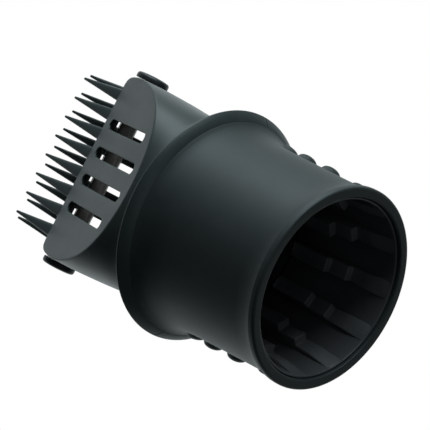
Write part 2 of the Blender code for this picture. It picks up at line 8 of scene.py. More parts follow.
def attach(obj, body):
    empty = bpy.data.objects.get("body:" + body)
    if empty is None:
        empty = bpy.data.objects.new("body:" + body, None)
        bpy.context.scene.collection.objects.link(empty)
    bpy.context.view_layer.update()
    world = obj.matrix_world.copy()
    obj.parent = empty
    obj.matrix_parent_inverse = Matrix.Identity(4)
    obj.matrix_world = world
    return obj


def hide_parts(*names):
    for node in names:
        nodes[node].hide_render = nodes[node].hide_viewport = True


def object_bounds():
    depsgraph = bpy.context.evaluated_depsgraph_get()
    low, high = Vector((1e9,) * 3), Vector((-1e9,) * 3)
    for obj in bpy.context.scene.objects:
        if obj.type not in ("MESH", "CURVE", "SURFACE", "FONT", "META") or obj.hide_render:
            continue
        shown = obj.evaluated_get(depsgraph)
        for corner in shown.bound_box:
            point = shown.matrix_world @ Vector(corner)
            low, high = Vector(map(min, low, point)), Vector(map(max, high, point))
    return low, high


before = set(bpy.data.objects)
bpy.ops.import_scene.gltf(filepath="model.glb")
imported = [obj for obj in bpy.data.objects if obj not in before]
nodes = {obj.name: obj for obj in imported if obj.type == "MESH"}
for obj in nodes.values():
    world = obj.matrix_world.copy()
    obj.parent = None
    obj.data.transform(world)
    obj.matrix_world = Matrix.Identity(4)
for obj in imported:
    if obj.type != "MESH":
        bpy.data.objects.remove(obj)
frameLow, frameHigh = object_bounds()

scene = bpy.context.scene
mm = 0.001
fullTurn = 2 * math.pi


# camera: long lens, looking up into the mouth from the front and below
cameraSetup = {
    "place": (3.09 * mm, -664.59 * mm, -518.28 * mm),
    "target": (4.12 * mm, 0.0, 57.12 * mm),
    "roll": 62.97,
    "sensor": 36.0,
    "lens": 226.05,
    "clip": (0.02, 20.0),
}


def makeCamera(setup):
    data = bpy.data.cameras.new("studioCamera")
    data.sensor_width = setup["sensor"]
    data.lens = setup["lens"]
    data.clip_start, data.clip_end = setup["clip"]
    camera = bpy.data.objects.new("studioCamera", data)
    scene.collection.objects.link(camera)
    forward = (Vector(setup["target"]) - Vector(setup["place"])).normalized()
    level = forward.cross(Vector((0, 0, 1))).normalized()
    upright = level.cross(forward)
    roll = math.radians(setup["roll"])
    up = upright * math.cos(roll) + level * math.sin(roll)
    right = forward.cross(up)
    turn = Matrix((right, up, -forward)).transposed().to_4x4()
    camera.matrix_world = Matrix.Translation(Vector(setup["place"])) @ turn
    scene.camera = camera
    return forward, up, right


viewForward, viewUp, viewRight = makeCamera(cameraSetup)
print("camera in place")


# where a Mix node of each kind keeps its factor, first, second and result
mixSockets = {"RGBA": (0, 6, 7, 2), "FLOAT": (0, 2, 3, 0)}


def socketIn(group, name, kind, value=None):
    socket = group.interface.new_socket(name=name, in_out="INPUT", socket_type="NodeSocket" + kind)
    if value is not None:
        socket.default_value = value


def socketOut(group, name, kind):
    group.interface.new_socket(name=name, in_out="OUTPUT", socket_type="NodeSocket" + kind)


def newGroup(name):
    group = bpy.data.node_groups.new(name, "ShaderNodeTree")
    socketIn(group, "Where", "Vector")
    enter = group.nodes.new("NodeGroupInput")
    leave = group.nodes.new("NodeGroupOutput")
    enter.location = (-900, 0)
    leave.location = (600, 0)
    return group, enter, leave


def feed(tree, socket, value):
    # a socket takes a link, a plain number or a colour
    if isinstance(value, bpy.types.NodeSocket):
        tree.links.new(value, socket)
    elif isinstance(value, (int, float)):
        socket.default_value = value
    else:
        socket.default_value = (*value, 1.0)


def addNode(tree, kind, x=0, y=0, **settings):
    node = tree.nodes.new("ShaderNode" + kind)
    node.location = (x, y)
    for key, value in settings.items():
        setattr(node, key, value)
    return node


def addMath(tree, operation, first, second, x=0, y=0, clamp=False):
    node = addNode(tree, "Math", x, y, operation=operation, use_clamp=clamp)
    feed(tree, node.inputs[0], first)
    if second is not None:
        feed(tree, node.inputs[1], second)
    return node.outputs[0]


def addMix(tree, factor, first, second, x=0, y=0, kind="RGBA"):
    node = addNode(tree, "Mix", x, y, data_type=kind)
    *numbers, result = mixSockets[kind]
    for number, value in zip(numbers, (factor, first, second)):
        feed(tree, node.inputs[number], value)
    return node.outputs[result]


def addNoise(tree, where, scale, detail, rough, x=0, y=0):
    node = addNode(tree, "TexNoise", x, y)
    feed(tree, node.inputs["Vector"], where)
    feed(tree, node.inputs["Scale"], scale)
    node.inputs["Detail"].default_value = detail
    node.inputs["Roughness"].default_value = rough
    return node.outputs["Fac"]


def addRange(tree, value, fromLow, fromHigh, toLow, toHigh, x=0, y=0):
    node = addNode(tree, "MapRange", x, y, clamp=True)
    ends = {"Value": value, "From Min": fromLow, "From Max": fromHigh, "To Min": toLow, "To Max": toHigh}
    for name, end in ends.items():
        feed(tree, node.inputs[name], end)
    return node.outputs["Result"]


# effects that several finishes share; a noise is (scale, detail, roughness), a range is (start, full)
grainForm = {"cellSoftness": 0.6, "fineShare": 2.3, "fine": (3.0, 0.6), "pits": (0.55, 0.8)}


def buildMouldedGrain(form):
    # sparked mould texture: soft cells broken up by fine noise
    group, enter, leave = newGroup("mouldedGrain")
    socketIn(group, "Size", "Float", 1500.0)
    socketIn(group, "Softness", "Float", 0.5)
    socketOut(group, "Height", "Float")
    socketOut(group, "Pits", "Float")
    cells = addNode(group, "TexVoronoi", -500, 200, feature="SMOOTH_F1")
    feed(group, cells.inputs["Vector"], enter.outputs["Where"])
    feed(group, cells.inputs["Scale"], enter.outputs["Size"])
    feed(group, cells.inputs["Smoothness"], form["cellSoftness"])
    fineSize = addMath(group, "MULTIPLY", enter.outputs["Size"], form["fineShare"], -700, -100)
    fine = addNoise(group, enter.outputs["Where"], fineSize, *form["fine"], -500, -100)
    height = addMix(group, enter.outputs["Softness"], cells.outputs["Distance"], fine, -100, 100, "FLOAT")
    pits = addRange(group, fine, *form["pits"], 0.0, 1.0, 100, -150)
    group.links.new(height, leave.inputs["Height"])
    group.links.new(pits, leave.inputs["Pits"])
    return group


wearForm = {"noise": (5.0, 0.65), "patches": (0.42, 0.66)}


def buildEdgeWear(form):
    # rubbed convex edges, broken up so the line is never even
    group, enter, leave = newGroup("edgeWear")
    socketIn(group, "Start", "Float", 0.52)
    socketIn(group, "End", "Float", 0.60)
    socketIn(group, "Breakup", "Float", 220.0)
    socketOut(group, "Wear", "Float")
    convex = addNode(group, "NewGeometry", -700, 200).outputs["Pointiness"]
    edges = addRange(group, convex, enter.outputs["Start"], enter.outputs["End"], 0.0, 1.0, -300, 200)
    noise = addNoise(group, enter.outputs["Where"], enter.outputs["Breakup"], *form["noise"], -500, -100)
    patches = addRange(group, noise, *form["patches"], 0.0, 1.0, -300, -100)
    wear = addMath(group, "MULTIPLY", edges, patches, 0, 0, clamp=True)
    group.links.new(wear, leave.inputs["Wear"])
    return group


toneForm = {
    "stretch": (1.0, 1.0, 0.35), "cloud": (4.0, 0.55), "fine": (900.0, 2.0, 0.5),
    "cloudShare": 0.75, "spread": (0.35, 0.65),
}


def buildToneDrift(form):
    # slow change of tone through the moulding, with faint flow lines
    group, enter, leave = newGroup("toneDrift")
    socketIn(group, "First", "Color", (0.03, 0.03, 0.03, 1))
    socketIn(group, "Second", "Color", (0.05, 0.05, 0.05, 1))
    socketIn(group, "Size", "Float", 45.0)
    socketOut(group, "Colour", "Color")
    socketOut(group, "Cloud", "Float")
    stretch = addNode(group, "Mapping", -700, 100)
    stretch.inputs["Scale"].default_value = form["stretch"]
    feed(group, stretch.inputs["Vector"], enter.outputs["Where"])
    cloud = addNoise(group, stretch.outputs["Vector"], enter.outputs["Size"], *form["cloud"], -500, 100)
    fine = addNoise(group, enter.outputs["Where"], *form["fine"], -500, -150)
    broad = addMath(group, "MULTIPLY", cloud, form["cloudShare"], -300, 100)
    small = addMath(group, "MULTIPLY", fine, 1 - form["cloudShare"], -300, -150)
    mixed = addMath(group, "ADD", broad, small, -200, 0)
    spread = addRange(group, mixed, *form["spread"], 0.0, 1.0, -100, 0)
    colour = addMix(group, spread, enter.outputs["First"], enter.outputs["Second"], 150, 0)
    group.links.new(colour, leave.inputs["Colour"])
    group.links.new(spread, leave.inputs["Cloud"])
    return group


dustForm = {
    "upward": (0.1, 1.0), "underside": 0.25,
    "patch": (160.0, 6.0, 0.7), "patches": (0.45, 0.75),
    "speck": (2600.0, 2.0, 0.5), "specks": (0.66, 0.74),
}


def buildDustFilm(form):
    # thin dust, thickest on faces turned up, in broken patches and specks
    group, enter, leave = newGroup("dustFilm")
    socketIn(group, "Amount", "Float", 0.2)
    socketOut(group, "Dust", "Float")
    shape = addNode(group, "NewGeometry", -800, 200)
    split = addNode(group, "SeparateXYZ", -600, 200)
    feed(group, split.inputs[0], shape.outputs["Normal"])
    facing = addRange(group, split.outputs["Z"], *form["upward"], form["underside"], 1.0, -400, 200)
    patch = addNoise(group, enter.outputs["Where"], *form["patch"], -500, -100)
    patches = addRange(group, patch, *form["patches"], 0.0, 1.0, -300, -100)
    speck = addNoise(group, enter.outputs["Where"], *form["speck"], -500, -300)
    specks = addRange(group, speck, *form["specks"], 0.0, 1.0, -300, -300)
    both = addMath(group, "ADD", patches, specks, -100, -150, clamp=True)
    shown = addMath(group, "MULTIPLY", both, facing, 100, 0)
    dust = addMath(group, "MULTIPLY", shown, enter.outputs["Amount"], 300, 0)
    group.links.new(dust, leave.inputs["Dust"])
    return group


scuffForm = {
    "directions": ((25, (60.0, 2600.0, 60.0)), (-50, (2200.0, 80.0, 70.0))),  # degrees, stretch
    "tilt": 18, "hair": (1.0, 2.0, 0.5), "hairs": (0.68, 0.76),
    "patch": (90.0, 3.0, 0.5), "patches": (0.5, 0.65),
}


def buildHandlingMarks(form):
    # hairline scuffs in two directions, only where the patches allow
    group, enter, leave = newGroup("handlingMarks")
    socketIn(group, "Strength", "Float", 0.5)
    socketOut(group, "Marks", "Float")
    lines = []
    for index, (degrees, stretch) in enumerate(form["directions"]):
        angle = math.radians(degrees)
        down = 200 - 300 * index
        turn = addNode(group, "Mapping", -800, down)
        turn.inputs["Rotation"].default_value = (angle, math.radians(form["tilt"]), angle)
        turn.inputs["Scale"].default_value = stretch
        feed(group, turn.inputs["Vector"], enter.outputs["Where"])
        hair = addNoise(group, turn.outputs["Vector"], *form["hair"], -600, down)
        lines.append(addRange(group, hair, *form["hairs"], 0.0, 1.0, -400, down))
    patch = addNoise(group, enter.outputs["Where"], *form["patch"], -600, -400)
    allowed = addRange(group, patch, *form["patches"], 0.0, 1.0, -400, -400)
    both = addMath(group, "MAXIMUM", *lines, -150, 0)
    shown = addMath(group, "MULTIPLY", both, allowed, 100, 0)
    marks = addMath(group, "MULTIPLY", shown, enter.outputs["Strength"], 300, 0)
    group.links.new(marks, leave.inputs["Marks"])
    return group


effects = {
    "grain": buildMouldedGrain(grainForm),
    "wear": buildEdgeWear(wearForm),
    "tone": buildToneDrift(toneForm),
    "dust": buildDustFilm(dustForm),
    "marks": buildHandlingMarks(scuffForm),
}
print("shader effects built")


# what every finish starts from; each look below changes some of it
plainLook = {
    "toneSize": 45.0, "wearStart": 0.52, "wearEnd": 0.62, "wearBreakup": 260.0, "wearAmount": 0.6,
    "dust": 0.15, "dustTone": (0.22, 0.22, 0.21), "dustRough": 0.35, "marks": 0.4, "markDepth": 0.5,
    "grainSize": 1500.0, "grainSoftness": 0.5, "pitRough": 0.08, "polish": -0.12,
    "bump": 0.35, "bumpDepth": 0.00006, "metal": 0.0, "ior": 1.47, "shine": (0.86, 0.97, 1.0),
    "coat": 0.0, "coatRough": 0.2, "sheen": 0.0, "sheenRough": 0.5, "recess": None,
}


def placeEffect(tree, key, where, y, **values):
    node = tree.nodes.new("ShaderNodeGroup")
    node.node_tree = effects[key]
    node.location = (-800, y)
    tree.links.new(where, node.inputs["Where"])
    for name, value in values.items():
        feed(tree, node.inputs[name], value)
    return node.outputs


def shadeRecess(tree, where, colour, recess):
    # shade that gathers between the ribs and deep in the socket
    spot = addNode(tree, "SeparateXYZ", -550, 500)
    tree.links.new(where, spot.inputs[0])
    x, y, z = spot.outputs
    squares = [addMath(tree, "MULTIPLY", side, side, -400, 600) for side in (x, y)]
    radius = addMath(tree, "SQRT", addMath(tree, "ADD", *squares, -300, 600), None, -250, 550)
    outward = addRange(tree, radius, *recess["radius"], 0.0, recess["outward"], -100, 550)
    inward = addRange(tree, z, *recess["height"], 0.0, recess["inward"], -100, 400)
    hidden = addMath(tree, "MAXIMUM", outward, inward, 50, 450)
    return addMix(tree, hidden, colour, recess["tone"], 0, 300)


def makeFinish(name, changes):
    look = {**plainLook, **changes}
    finish = bpy.data.materials.new(name)
    finish.use_nodes = True
    tree = finish.node_tree
    tree.nodes.clear()
    output = addNode(tree, "OutputMaterial", 900, 0)
    surface = addNode(tree, "BsdfPrincipled", 600, 0)
    tree.links.new(surface.outputs[0], output.inputs[0])
    where = addNode(tree, "TexCoord", -1200, 0).outputs["Object"]

    tone = placeEffect(
        tree, "tone", where, 300, First=look["first"], Second=look["second"], Size=look["toneSize"])
    wear = placeEffect(
        tree, "wear", where, 50, Start=look["wearStart"], End=look["wearEnd"], Breakup=look["wearBreakup"])
    dust = placeEffect(tree, "dust", where, -200, Amount=look["dust"])
    marks = placeEffect(tree, "marks", where, -400, Strength=look["marks"])
    grain = placeEffect(tree, "grain", where, -600, Size=look["grainSize"], Softness=look["grainSoftness"])

    wearAmount = addMath(tree, "MULTIPLY", wear["Wear"], look["wearAmount"], -550, 50)
    colour = addMix(tree, wearAmount, tone["Colour"], look["worn"], -350, 250)
    colour = addMix(tree, marks["Marks"], colour, look["worn"], -150, 200)
    if look["recess"]:
        colour = shadeRecess(tree, where, colour, look["recess"])
    colour = addMix(tree, dust["Dust"], colour, look["dustTone"], 200, 150)
    feed(tree, surface.inputs["Base Color"], colour)

    rough = addRange(tree, tone["Cloud"], 0.0, 1.0, look["roughLow"], look["roughHigh"], -350, -150)
    polish = addMath(tree, "MULTIPLY", wearAmount, look["polish"], -350, -300)
    chalk = addMath(tree, "MULTIPLY", dust["Dust"], look["dustRough"], -350, -400)
    pitted = addMath(tree, "MULTIPLY", grain["Pits"], look["pitRough"], -350, -500)
    rubbed = addMath(tree, "ADD", rough, polish, -150, -200)
    dulled = addMath(tree, "ADD", chalk, pitted, -150, -400)
    feed(tree, surface.inputs["Roughness"], addMath(tree, "ADD", rubbed, dulled, 100, -250, True))

    scratch = addMath(tree, "MULTIPLY", marks["Marks"], look["markDepth"], -150, -600)
    bump = addNode(tree, "Bump", 300, -450)
    bump.inputs["Strength"].default_value = look["bump"]
    bump.inputs["Distance"].default_value = look["bumpDepth"]
    feed(tree, bump.inputs["Height"], addMath(tree, "SUBTRACT", grain["Height"], scratch, 100, -500))
    tree.links.new(bump.outputs[0], surface.inputs["Normal"])

    surface.inputs["Metallic"].default_value = look["metal"]
    surface.inputs["IOR"].default_value = look["ior"]
    surface.inputs["Specular Tint"].default_value = (*look["shine"], 1.0)
    surface.inputs["Coat Weight"].default_value = look["coat"]
    surface.inputs["Coat Roughness"].default_value = look["coatRough"]
    surface.inputs["Sheen Weight"].default_value = look["sheen"]
    surface.inputs["Sheen Roughness"].default_value = look["sheenRough"]
    return finish


nozzleLook = {
    "first": (0.020, 0.029, 0.029), "second": (0.028, 0.039, 0.039), "worn": (0.07, 0.088, 0.088),
    "roughLow": 0.38, "roughHigh": 0.48, "grainSize": 1900.0, "bump": 0.25, "bumpDepth": 0.00003,
    "wearAmount": 0.45, "dust": 0.05, "marks": 0.12,
}
rubberLook = {
    "first": (0.012, 0.018, 0.019), "second": (0.017, 0.025, 0.026), "worn": (0.05, 0.062, 0.064),
    "roughLow": 0.5, "roughHigh": 0.6, "bumpDepth": 0.00004,
    "wearAmount": 0.35, "polish": 0.06, "dust": 0.08, "marks": 0.06, "sheen": 0.05,
}
linerLook = {
    "first": (0.070, 0.073, 0.079), "second": (0.098, 0.103, 0.110), "worn": (0.16, 0.165, 0.17),
    "roughLow": 0.36, "roughHigh": 0.48, "grainSize": 1300.0, "bump": 0.3, "bumpDepth": 0.00004,
    "wearAmount": 0.4, "dust": 0.03, "marks": 0.1,
    "recess": {
        "radius": (28.6 * mm, 29.4 * mm), "outward": 0.3,
        "height": (18.0 * mm, 42.0 * mm), "inward": 0.8, "tone": (0.008, 0.009, 0.010),
    },
}
knobLook = {
    "first": (0.022, 0.026, 0.028), "second": (0.030, 0.035, 0.037), "worn": (0.08, 0.09, 0.09),
    "roughLow": 0.40, "roughHigh": 0.5, "grainSize": 1700.0, "bump": 0.25, "bumpDepth": 0.00003,
    "wearAmount": 0.5, "dust": 0.04, "marks": 0.2,
}
mineralLook = {
    "first": (0.74, 0.65, 0.58), "second": (0.86, 0.80, 0.75), "worn": (0.88, 0.86, 0.84),
    "roughLow": 0.2, "roughHigh": 0.34, "toneSize": 420.0, "grainSize": 900.0, "bump": 0.3,
    "bumpDepth": 0.00004, "wearAmount": 0.5, "dust": 0.03, "marks": 0.1, "coat": 0.7, "coatRough": 0.12,
}
steelLook = {
    "first": (0.42, 0.42, 0.41), "second": (0.55, 0.55, 0.54), "worn": (0.72, 0.72, 0.71), "metal": 1.0,
    "roughLow": 0.24, "roughHigh": 0.4, "toneSize": 300.0, "grainSize": 2500.0, "bump": 0.15,
    "bumpDepth": 0.00002, "dust": 0.05, "marks": 0.5, "shine": (1.0, 1.0, 1.0),
}
gasketLook = {
    "first": (0.035, 0.034, 0.033), "second": (0.055, 0.053, 0.05), "worn": (0.1, 0.1, 0.1),
    "roughLow": 0.75, "roughHigh": 0.9, "grainSize": 1100.0, "bump": 0.6, "bumpDepth": 0.00008,
    "wearAmount": 0.3, "dust": 0.1, "marks": 0.05,
}
bushLook = {
    "first": (0.34, 0.32, 0.27), "second": (0.42, 0.40, 0.35), "worn": (0.55, 0.53, 0.48),
    "roughLow": 0.38, "roughHigh": 0.5, "toneSize": 200.0, "grainSize": 2000.0, "bump": 0.2,
    "bumpDepth": 0.00003, "wearAmount": 0.4, "dust": 0.05, "marks": 0.2,
}
finishes = {
    "nozzle": makeFinish("satinNozzlePlastic", nozzleLook),
    "rubber": makeFinish("mattSleeveRubber", rubberLook),
    "liner": makeFinish("linerRubber", linerLook),
    "knob": makeFinish("knobPlastic", knobLook),
    "mineral": makeFinish("firedMineral", mineralLook),
    "steel": makeFinish("zincPlatedSteel", steelLook),
    "gasket": makeFinish("foamGasket", gasketLook),
    "bush": makeFinish("acetalBush", bushLook),
}
print("finishes made:", ", ".join(finishes))


# mesh helpers
def meshFrom(name, build, *values):
    data = bpy.data.meshes.new(name)
    bm = bmesh.new()
    build(bm, *values)
    bmesh.ops.recalc_face_normals(bm, faces=bm.faces)
    bm.normal_update()
    if bm.calc_volume(signed=True) < 0:
        bmesh.ops.reverse_faces(bm, faces=bm.faces)
    bm.to_mesh(data)
    bm.free()
    data.shade_smooth()
    return data


def place(name, data):
    item = bpy.data.objects.new(name, data)
    scene.collection.objects.link(item)
    return item


def dress(piece, finish, body, slotName, *replaced):
    piece.data.materials.clear()
    piece.data.materials.append(finishes[finish])
    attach(piece, body)
    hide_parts(*replaced)


def keepSharp(piece, degrees):
    # smooth shading that keeps the edges steeper than this
    bm = bmesh.new()
    bm.from_mesh(piece.data)
    limit = math.radians(degrees)
    for edge in bm.edges:
        edge.smooth = len(edge.link_faces) == 2 and edge.calc_face_angle(0.0) < limit
    bm.to_mesh(piece.data)
    bm.free()


def arcLine(cx, cz, radius, start, end, count):
    points = []
    for i in range(count + 1):
        angle = math.radians(start + (end - start) * i / count)
        points.append((cx + radius * math.cos(angle), cz + radius * math.sin(angle)))
    return points


def smoothValue(p, q, r, s, t):
    # between q and r, with the neighbours p and s giving the slope
    bend = 2 * p - 5 * q + 4 * r - s
    twist = 3 * q - p - 3 * r + s
    return 0.5 * (2 * q + (r - p) * t + bend * t * t + twist * t ** 3)


def smoothLine(points, each):
    # a smooth line through the given points
    ends = [points[0]] + list(points) + [points[-1]]
    line = []
    for a, b, c, d in zip(ends, ends[1:], ends[2:], ends[3:]):
        for i in range(each):
            line.append(tuple(smoothValue(*values, i / each) for values in zip(a, b, c, d)))
    line.append(tuple(points[-1]))
    return line


def squared(half, part, squareness):
    # one coordinate of a rounded square: 2 is a circle, more is squarer
    return half * math.copysign(abs(part) ** (2 / squareness), part)


def bridge(bm, low, high, closed=True):
    # faces between two rings, or from one ring to a single point
    for j in range(len(low) if closed else len(low) - 1):
        k = (j + 1) % len(low)
        if len(high) == 1:
            bm.faces.new((low[j], low[k], high[0]))
        else:
            bm.faces.new((low[j], low[k], high[k], high[j]))


def joinOutlines(bm, first, second):
    # closes a prism between two equal outlines
    bm.faces.new(first)
    bm.faces.new(second)
    bridge(bm, first, second)


def spin(bm, profile, steps, matrix=None, closed=True, startAngle=0.0, endAngle=fullTurn):
    # turns a profile of (radius, height) round Z; a part turn gets end caps
    whole = abs(endAngle - startAngle - fullTurn) < 1e-6
    count = steps if whole else steps + 1
    rings = []
    for i in range(count):
        angle = startAngle + (endAngle - startAngle) * i / steps
        ring = []
        for radius, height in profile:
            point = Vector((radius * math.cos(angle), radius * math.sin(angle), height))
            ring.append(bm.verts.new(matrix @ point if matrix else point))
        rings.append(ring)
    for i in range(count if whole else count - 1):
        bridge(bm, rings[i], rings[(i + 1) % count], closed)
    if not whole:
        bm.faces.new(rings[0])
        bm.faces.new(rings[-1])
    bmesh.ops.remove_doubles(bm, verts=[v for ring in rings for v in ring], dist=1e-7)


# rubber sleeve with its lip, flare and grip domes
sleeveForm = {
    "steps": 224, "sharp": 50,
    "mouth": 34.0 * mm, "lipRound": 0.9 * mm, "lipRise": 1.1 * mm, "lipLean": 25,
    "innerRound": 0.6 * mm, "lipBore": 30.5 * mm, "bore": 30.4 * mm, "boreStart": 3.0 * mm,
    "top": 55.6 * mm, "topRadius": 36.95 * mm, "topEdge": 0.15 * mm,
    "socketRadius": 31.9 * mm, "socketBase": 45.7 * mm,
    # radius and height down the outside, in mm
    "outside": (
        (37.12, 54.05), (36.95, 53.7), (35.95, 52.55), (34.9, 50.7), (34.1, 48.0), (33.55, 44.0),
        (33.3, 38.0), (33.0, 24.0), (32.8, 11.0), (32.9, 7.2), (33.25, 4.6)),
    "outsideSteps": 6,
}
domeForm = {
    "rows": ((15, 32), (9, 25, 41), (9, 25, 41), (15, 32)),  # degrees round the sleeve
    "first": 15.2 * mm, "pitch": 10.9 * mm, "radius": 3.6 * mm, "rise": 2.0 * mm, "skirt": 0.7 * mm,
    "crownShare": 0.93, "fillet": 0.32 * mm, "sink": 0.04 * mm, "root": 0.8 * mm,
    "rings": 12, "around": 36,
}


def sleeveProfile(form):
    outside = smoothLine([(r * mm, z * mm) for r, z in form["outside"]], form["outsideSteps"])
    profile = [(form["topRadius"], form["top"] - form["topEdge"])] + outside
    edge = form["lipRound"]
    inner = form["innerRound"]
    lipOut = form["mouth"] - edge
    lipIn = form["lipBore"] + inner
    profile += arcLine(lipOut, edge + form["lipRise"], edge, form["lipLean"], 0, 4)
    profile += arcLine(lipOut, edge, edge, 0, -90, 10)
    profile += [(lipOut + (lipIn - lipOut) * share, 0.0) for share in (0.25, 0.5, 0.75)]
    profile += arcLine(lipIn, inner, inner, -90, -180, 8)
    profile += [(form["bore"], form["boreStart"]), (form["bore"], form["socketBase"])]
    profile += [(form["socketRadius"], form["socketBase"]), (form["socketRadius"], form["top"])]
    profile += [(form["topRadius"] - form["topEdge"], form["top"])]
    return profile


def surfaceRadius(form, height):
    line = [(z * mm, r * mm) for r, z in reversed(form["outside"])]
    for (z0, r0), (z1, r1) in zip(line, line[1:]):
        if z0 <= height <= z1:
            return r0 + (r1 - r0) * (height - z0) / (z1 - z0)
    return form["mouth"]


def domeLift(dome, out):
    # how far the dome stands over the wall, this far from its middle
    crown = dome["radius"] * dome["crownShare"]
    reach = dome["radius"] + dome["skirt"]
    if out > crown:
        return dome["fillet"] * ((reach - out) / (reach - crown)) ** 2 - dome["sink"]
    start = dome["fillet"] - dome["sink"]
    return start + (dome["rise"] - start) * math.sqrt(1 - (out / crown) ** 2)


def addDome(bm, form, dome, degrees, height):
    # a low bead with a small fillet where it grows out of the wall
    rings = []
    for i in range(dome["rings"] + 1):
        out = (dome["radius"] + dome["skirt"]) * (1 - i / dome["rings"])
        lift = domeLift(dome, out)
        ring = []
        for j in range(dome["around"] if i < dome["rings"] else 1):
            turn = fullTurn * j / dome["around"]
            z = height + out * math.sin(turn)
            wall = surfaceRadius(form, z)
            angle = math.radians(degrees) + out * math.cos(turn) / wall
            ring.append(bm.verts.new(((wall + lift) * math.cos(angle), (wall + lift) * math.sin(angle), z)))
        rings.append(ring)
    for low, high in zip(rings, rings[1:]):
        bridge(bm, low, high)
    base = []
    for vert in rings[0]:
        across = math.hypot(vert.co.x, vert.co.y)
        inward = (across - dome["root"]) / across
        base.append(bm.verts.new((vert.co.x * inward, vert.co.y * inward, vert.co.z)))
    bridge(bm, base, rings[0])
    bm.faces.new(base)


def buildSleeve(bm, form, dome):
    spin(bm, sleeveProfile(form), form["steps"])
    for side in (-1, 1):
        for row, columns in enumerate(dome["rows"]):
            height = dome["first"] + row * dome["pitch"]
            for column in columns:
                addDome(bm, form, dome, column if side > 0 else 180 - column, height)


sleeve = place("gripSleeve", meshFrom("gripSleeve", buildSleeve, sleeveForm, domeForm))
dress(sleeve, "rubber", "nozzle", "rubber", "rubber_sleeve")
keepSharp(sleeve, sleeveForm["sharp"])
print("sleeve made")


# ribbed liner: a thin ring with twelve stepped ribs
linerForm = {
    "base": 1.2 * mm, "top": 44.6 * mm, "radius": 30.1 * mm, "bore": 29.5 * mm, "edge": 0.3 * mm,
    "steps": 192, "rows": (3, 44), "sharp": 40,
    "ribs": 12, "ribBase": 1.5 * mm, "ribRoot": 0.4 * mm, "ribSink": 0.05 * mm,
    "wide": 6.3 * mm, "narrow": 5.1 * mm, "taper": 14.0 * mm, "soft": 0.42 * mm,
    "treads": ((10.8, 17.0, 27.9), (17.0, 24.5, 25.5), (24.5, 40.0, 23.0)),  # from, to, crest radius in mm
}


def ribOutline(form):
    root = form["bore"] + form["ribRoot"]
    outline = [(root, form["ribBase"]), (form["bore"] - form["ribSink"], form["ribBase"])]
    for low, high, crest in form["treads"]:
        outline += [(crest * mm, low * mm), (crest * mm, high * mm)]
    outline += [(root, form["treads"][-1][1] * mm)]
    return outline


def buildRib(form):
    # one rib as a mesh of its own, with every outer edge softened
    bm = bmesh.new()
    sides = []
    for side in (-1, 1):
        ring = []
        for radius, height in ribOutline(form):
            share = min(1.0, (height - form["ribBase"]) / form["taper"])
            half = (form["wide"] + (form["narrow"] - form["wide"]) * share) / 2
            ring.append(bm.verts.new((radius, side * half, height)))
        sides.append(ring)
    joinOutlines(bm, *sides)
    bmesh.ops.recalc_face_normals(bm, faces=bm.faces)
    seen = [e for e in bm.edges if not all(v.co.x > form["bore"] for v in e.verts)]
    bmesh.ops.bevel(
        bm, geom=seen, offset=form["soft"], offset_type="OFFSET", segments=3, profile=0.5, affect="EDGES")
    return bm


def buildLiner(bm, form):
    rib = buildRib(form)
    corners = [v.co.copy() for v in rib.verts]
    rib.verts.index_update()
    loops = [[v.index for v in f.verts] for f in rib.faces]
    rib.free()
    for index in range(form["ribs"]):
        turn = Matrix.Rotation((index + 0.5) * fullTurn / form["ribs"], 3, "Z")
        placed = [bm.verts.new(turn @ corner) for corner in corners]
        for loop in loops:
            bm.faces.new([placed[i] for i in loop])
    edge = form["edge"]
    profile = [(form["radius"], form["top"]), (form["radius"], form["base"])]
    profile += arcLine(form["bore"] + edge, form["base"] + edge, edge, -90, -180, 5)
    profile += [(form["bore"], z * mm) for z in range(*form["rows"])] + [(form["bore"], form["top"])]
    spin(bm, profile, form["steps"])


liner = place("ribbedLiner", meshFrom("ribbedLiner", buildLiner, linerForm))
dress(liner, "liner", "nozzle", "liner", "ribbed_liner")
keepSharp(liner, linerForm["sharp"])
print("liner made")


# nozzle shells, in mm: hollow wedge with slots in front and windows behind
neckStations = (  # height, half width, squareness
    (56.2, 34.8, 2.0), (58.0, 33.6, 2.0), (60.0, 32.8, 2.1), (65.0, 32.2, 2.4), (71.0, 32.1, 2.8),
    (78.0, 32.4, 3.1), (86.0, 33.0, 3.3), (93.0, 33.5, 3.4), (100.0, 33.7, 3.5), (107.0, 33.5, 3.5),
    (111.5, 32.9, 3.5), (113.7, 32.0, 3.5), (114.7, 30.9, 3.5), (115.0, 29.6, 3.5),
)
neckForm = {
    "around": 160, "between": 5, "wall": 2.2, "faceWall": 2.0, "topWall": 1.8, "top": 115.0,
    "slope": 28.8, "faceTop": 5.5, "faceBase": 60.0, "parting": 0.05, "voxel": 0.34 * mm, "smoothing": 3,
}
airForm = {"floor": (50.0, 30.6, 2.0), "low": 60.0, "roofStep": 1.0, "roof": (30.7, 3.5)}
slotForm = {
    "centres": (-15.45, -5.1, 5.1, 15.45), "low": (75.6, 71.6, 71.6, 75.6), "high": 109.9,
    "width": 3.65, "corner": 1.82,
}
windowForm = {
    "centres": (-18.9, 0.0, 18.9), "widths": (7.4, 10.7, 7.4), "low": 76.0, "high": 112.2, "corner": 0.9,
}
outletForm = {"low": (-27.5, -1.2, 111), "high": (27.5, 1.2, 117)}
bearingForm = {"radius": 2.8, "reach": 45}
bossForm = {
    "circle": 27.0, "angles": (45, 135, 225, 315), "radius": 4.0, "low": 56.4, "high": 66.0, "hole": 1.4,
}
postForm = {
    "x": 26.7, "z": 92.0, "radius": 3.4, "frontStart": 0.3, "backStart": 0.6, "seat": 6.4,
    "wellStart": 6.0, "well": 2.6, "wellCut": (6.2, 40), "shortOfWall": 2.9,
}
cutterForm = {"across": 60, "low": 40, "high": 150, "far": 90.0, "cornerSteps": 10, "samePoint": 0.001}
axleHeight = 109.15


